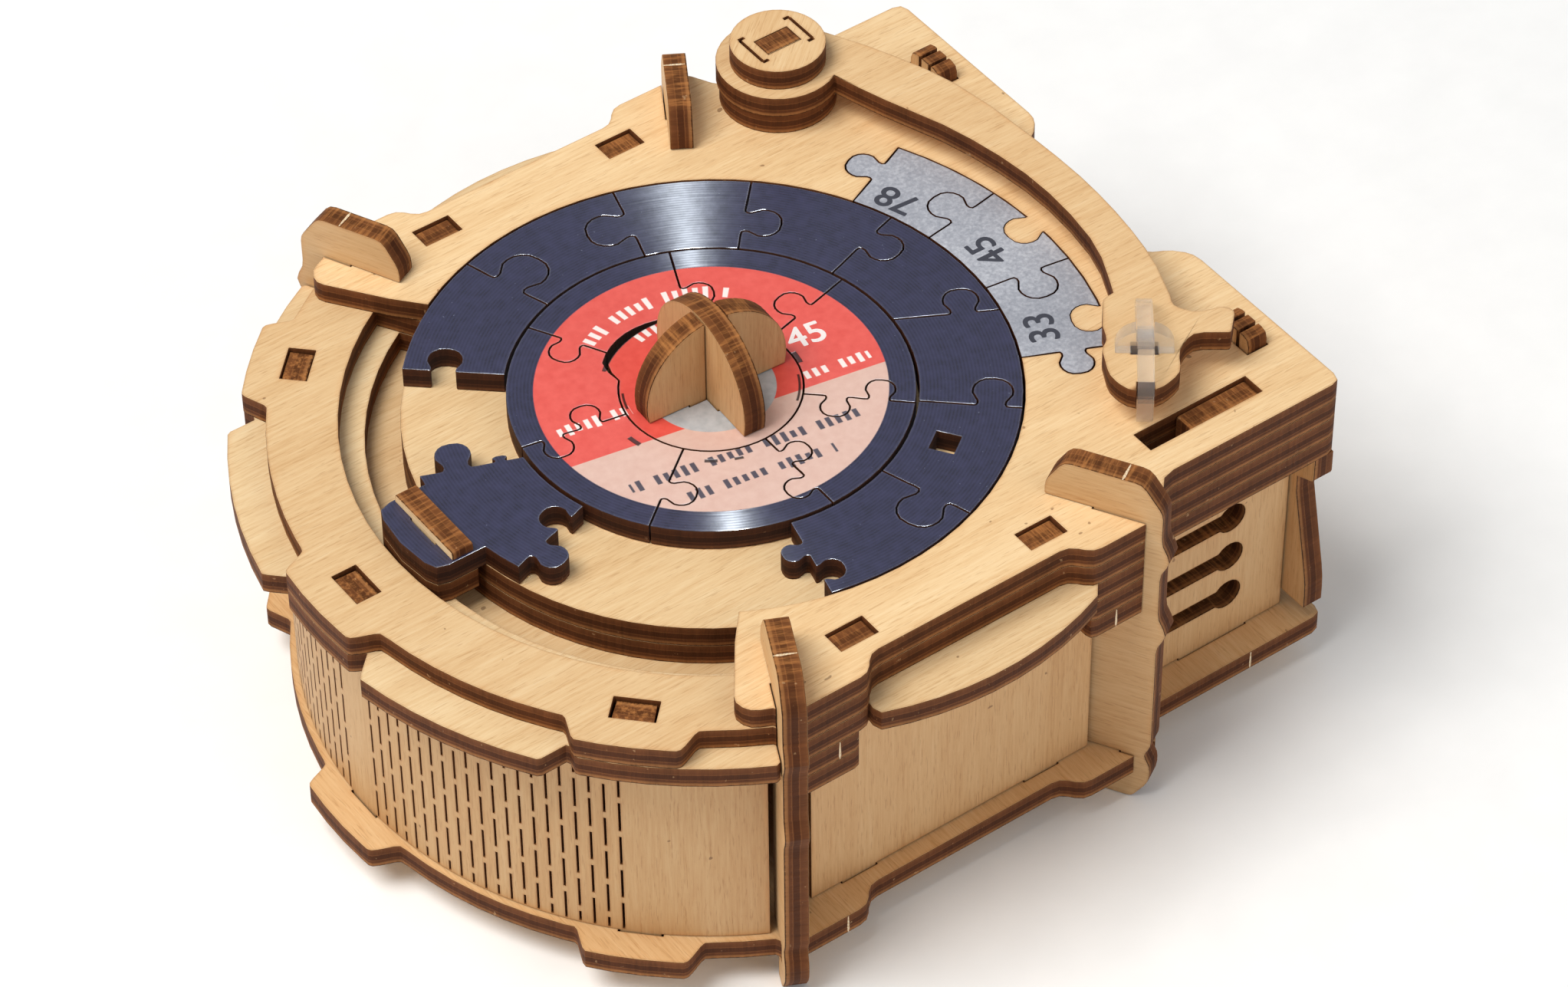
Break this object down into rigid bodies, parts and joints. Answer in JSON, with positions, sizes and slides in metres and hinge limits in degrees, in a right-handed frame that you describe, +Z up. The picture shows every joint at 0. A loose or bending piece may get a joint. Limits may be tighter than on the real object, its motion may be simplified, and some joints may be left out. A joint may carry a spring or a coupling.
{
  "type": "turntable puzzle box",
  "caption": "Laser-cut plywood puzzle box shaped like a record player, with a jigsaw record, a turning label knob, a sliding record piece and a swinging tonearm",
  "frame": {"origin": "middle of the footprint, on the plane the feet stand on", "axes": "+Z up out of the record, +X towards the square end with the tonearm, +Y towards the back"},
  "size_m": [0.1208, 0.1088, 0.0604],
  "materials": {
    "birch_sheet": "bare birch plywood sheet with laser-browned edges",
    "birch_upright": "bare birch plywood on edge, browned by the laser",
    "record_print": "dark blue printed plywood with fine grooves",
    "label_print": "red and pink printed plywood",
    "grey_print": "grey printed plywood",
    "clear_acrylic": "clear polished acrylic sheet"
  },
  "bodies": {
    "case": {"base_plate": "birch_sheet", "lower_plate": "birch_sheet", "floor_plate": "birch_sheet", "rim_plate": "birch_sheet", "deck_plate": "birch_sheet", "top_plate": "birch_sheet", "living_hinge_wall": "birch_upright", "side_wall_front": "birch_upright", "side_wall_back": "birch_upright", "grille_wall_front": "birch_upright", "grille_wall_back": "birch_upright", "end_wall": "birch_upright", "inner_end_wall": "birch_upright", "post_front_left": "birch_upright", "post_front_right": "birch_upright", "post_back_left": "birch_upright", "post_back_right": "birch_upright", "platter_lower": "birch_sheet", "platter_upper": "birch_sheet", "ring_piece_1": "record_print", "ring_piece_2": "record_print", "ring_piece_3": "record_print", "ring_piece_4": "record_print", "ring_piece_5": "record_print", "ring_piece_6": "record_print", "ring_piece_7": "record_print", "ring_piece_8": "record_print", "speed_piece_33": "grey_print", "speed_piece_45": "grey_print", "speed_piece_78": "grey_print", "arm_base_disc": "birch_sheet"},
    "label_disc": {"label_piece_1": "label_print", "label_piece_2": "label_print", "label_piece_3": "label_print", "label_piece_4": "label_print", "label_piece_5": "label_print", "label_piece_6": "label_print", "label_piece_7": "label_print", "label_core": "label_print", "knob_plate_long": "birch_upright", "knob_plate_cross": "birch_upright", "hub_washer": "birch_sheet"},
    "slider": {"slider_record_piece": "record_print", "slider_shoe": "birch_sheet", "slider_handle": "birch_upright"},
    "tonearm": {"tonearm": "birch_sheet", "tonearm_cap": "birch_sheet", "pivot_pin": "birch_upright", "pivot_washer": "birch_sheet", "stylus_plate_long": "clear_acrylic", "stylus_plate_cross": "clear_acrylic"}
  },
  "joints": [
    {"name": "label_turn", "type": "hinge", "parent": "case", "child": "label_disc", "pos_m": [-0.0021, 0, 0.048], "axis": [0, 0, 1], "continuous": true},
    {"name": "slider_travel", "type": "hinge", "parent": "case", "child": "slider", "pos_m": [-0.0021, 0, 0.045], "axis": [0, 0, 1], "range_deg": [-21, 46]},
    {"name": "tonearm_swing", "type": "hinge", "parent": "case", "child": "tonearm", "pos_m": [0.0366, 0.0394, 0.051], "axis": [0, 0, 1], "range_deg": [-36, 8]}
  ]
}
